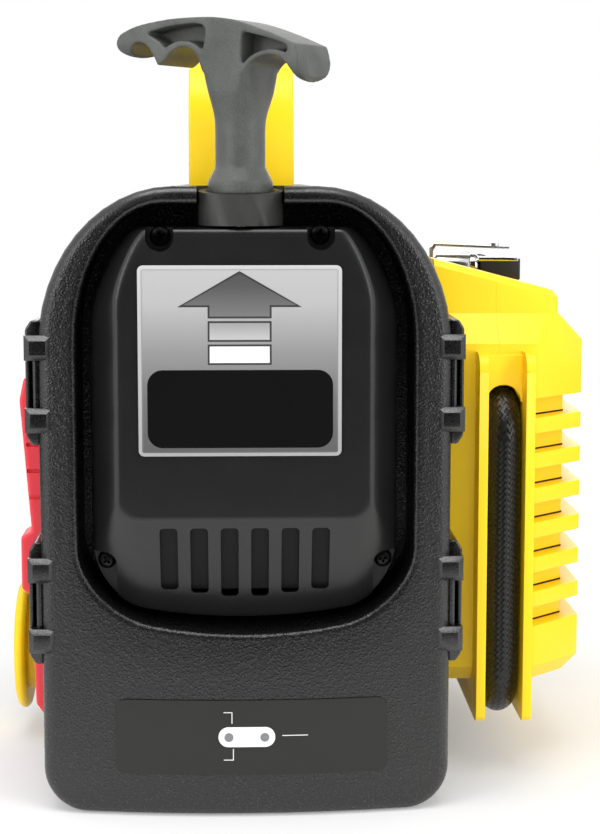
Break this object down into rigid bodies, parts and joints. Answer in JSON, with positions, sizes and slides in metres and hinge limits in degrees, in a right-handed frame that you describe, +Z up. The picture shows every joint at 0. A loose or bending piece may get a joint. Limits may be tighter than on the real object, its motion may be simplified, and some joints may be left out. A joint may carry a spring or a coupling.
{
  "type": "portable jump starter",
  "caption": "Boxy portable jump starter with an arched case, a pull-rope generator, a finned air compressor module, a carry handle, clamp bays and a control console.",
  "frame": {"origin": "under the middle of the whole part, on the floor that it stands on", "axes": "+Z up; -Y towards the end with the pull-rope generator; +X towards the compressor module"},
  "size_m": [0.2866, 0.316, 0.3624],
  "materials": {
    "case_black": "leather-grained, satin",
    "generator_grey": "fine-grained satin",
    "handle_grey": "satin",
    "yellow": "semi-gloss",
    "red": "semi-gloss",
    "black_grip": "semi-gloss",
    "rope_braid": "braided",
    "hose_braid": "braided cover over rubber",
    "steel": "brushed",
    "chrome": "polished",
    "copper": "satin",
    "label_silver": "satin, graded from light to grey",
    "label_dark": "satin",
    "window": "polished",
    "lamp": "polished",
    "clear": "clear",
    "board_green": "lacquered",
    "battery_case": "matt"
  },
  "bodies": {
    "case": {"main_body": "case_black", "near_end_cover": "case_black", "far_end_cover": "case_black", "near_clip_left_upper": "case_black", "near_clip_left_lower": "case_black", "near_clip_right_upper": "case_black", "near_clip_right_lower": "case_black", "far_clip_left_upper": "case_black", "far_clip_left_lower": "case_black", "far_clip_right_upper": "case_black", "far_clip_right_lower": "case_black", "generator_cover": "generator_grey", "generator_base": "case_black", "generator_stator": "copper", "starter_rope": "rope_braid", "rope_collar": "handle_grey", "pull_label_plate": "label_silver", "indicator_label": "label_dark", "indicator_window": "window", "polarity_lamp": "lamp", "charge_lamp": "lamp", "carry_handle": "yellow", "module_inner_shell": "yellow", "module_outer_shell": "yellow", "air_hose": "hose_braid", "chuck_barrel": "chrome", "chuck_grip": "black_grip", "compressor_motor": "steel", "compressor_pump": "steel", "battery": "battery_case", "circuit_board": "board_green", "console_panel": "case_black", "gauge_body": "case_black", "gauge_lens": "clear", "work_light_lens": "clear", "power_socket": "black_grip", "battery_switch_body": "case_black"},
    "pull_handle": {"pull_handle": "handle_grey"},
    "rope_reel": {"rope_reel": "handle_grey"},
    "generator_rotor": {"generator_rotor": "steel"},
    "chuck_lever": {"chuck_lever": "chrome"},
    "battery_switch_knob": {"battery_switch_knob": "yellow"},
    "socket_cap": {"socket_cap": "black_grip"},
    "gauge_needle": {"gauge_needle": "red"},
    "light_switch": {"light_switch": "red"},
    "compressor_switch": {"compressor_switch": "red"},
    "battery_test_button": {"battery_test_button": "handle_grey"},
    "red_clamp": {"red_clamp_inner_lever": "red", "red_clamp_pivot": "steel", "red_clamp_inner_jaw": "copper"},
    "red_clamp_outer": {"red_clamp_outer_lever": "red", "red_clamp_outer_jaw": "copper"},
    "black_clamp": {"black_clamp_inner_lever": "black_grip", "black_clamp_pivot": "steel", "black_clamp_inner_jaw": "copper"},
    "black_clamp_outer": {"black_clamp_outer_lever": "black_grip", "black_clamp_outer_jaw": "copper"}
  },
  "joints": [
    {"name": "rope_pull", "type": "slide", "parent": "case", "child": "pull_handle", "axis": [0, 0, 1], "range_m": [0, 0.5], "stiffness_N_per_m": 20, "springref_m": -0.3, "deforming": ["starter_rope"]},
    {"name": "reel_spin", "type": "hinge", "parent": "case", "child": "rope_reel", "pos_m": [-0.05125, -0.125, 0.19], "axis": [0, 1, 0], "range_deg": [-1200, 0]},
    {"name": "rotor_spin", "type": "hinge", "parent": "case", "child": "generator_rotor", "pos_m": [-0.00375, -0.104, 0.19], "axis": [0, 1, 0], "range_deg": [0, 3800]},
    {"name": "chuck_lever_lift", "type": "hinge", "parent": "case", "child": "chuck_lever", "pos_m": [0.07295, 0.007, 0.2488], "axis": [0, -1, 0], "range_deg": [0, 80]},
    {"name": "battery_switch_turn", "type": "hinge", "parent": "case", "child": "battery_switch_knob", "pos_m": [-0.13025, 0.009, 0.045], "axis": [1, 0, 0], "range_deg": [0, 90]},
    {"name": "socket_cap_lift", "type": "hinge", "parent": "case", "child": "socket_cap", "pos_m": [-0.12525, -0.016, 0.133], "axis": [0, 1, 0], "range_deg": [0, 120]},
    {"name": "gauge_needle_sweep", "type": "hinge", "parent": "case", "child": "gauge_needle", "pos_m": [-0.12125, -0.016, 0.174], "axis": [1, 0, 0], "range_deg": [0, 270], "stiffness_Nm_per_rad": 0.00002, "springref_deg": -28.65},
    {"name": "light_switch_rock", "type": "hinge", "parent": "case", "child": "light_switch", "pos_m": [-0.12075, 0.016, 0.124], "axis": [0, 1, 0], "range_deg": [0, 16]},
    {"name": "compressor_switch_rock", "type": "hinge", "parent": "case", "child": "compressor_switch", "pos_m": [-0.12075, 0.041, 0.124], "axis": [0, 1, 0], "range_deg": [0, 16]},
    {"name": "test_button_press", "type": "slide", "parent": "case", "child": "battery_test_button", "axis": [1, 0, 0], "range_m": [0, 0.002], "stiffness_N_per_m": 200, "springref_m": -0.002},
    {"name": "red_clamp_lift_out", "type": "slide", "parent": "case", "child": "red_clamp", "axis": [-1, 0, 0], "range_m": [0, 0.12]},
    {"name": "red_clamp_squeeze", "type": "hinge", "parent": "red_clamp", "child": "red_clamp_outer", "pos_m": [-0.10925, -0.061, 0.105], "axis": [0, 1, 0], "range_deg": [0, 18], "stiffness_Nm_per_rad": 1.2, "springref_deg": -17.19},
    {"name": "black_clamp_lift_out", "type": "slide", "parent": "case", "child": "black_clamp", "axis": [-1, 0, 0], "range_m": [0, 0.12]},
    {"name": "black_clamp_squeeze", "type": "hinge", "parent": "black_clamp", "child": "black_clamp_outer", "pos_m": [-0.10925, 0.077, 0.105], "axis": [0, 1, 0], "range_deg": [0, 18], "stiffness_Nm_per_rad": 1.2, "springref_deg": -17.19}
  ],
  "couplings": [
    {"joint": "reel_spin", "follows": "rope_pull", "rad_per_m": -41.667},
    {"joint": "rotor_spin", "follows": "rope_pull", "rad_per_m": 131.94}
  ]
}
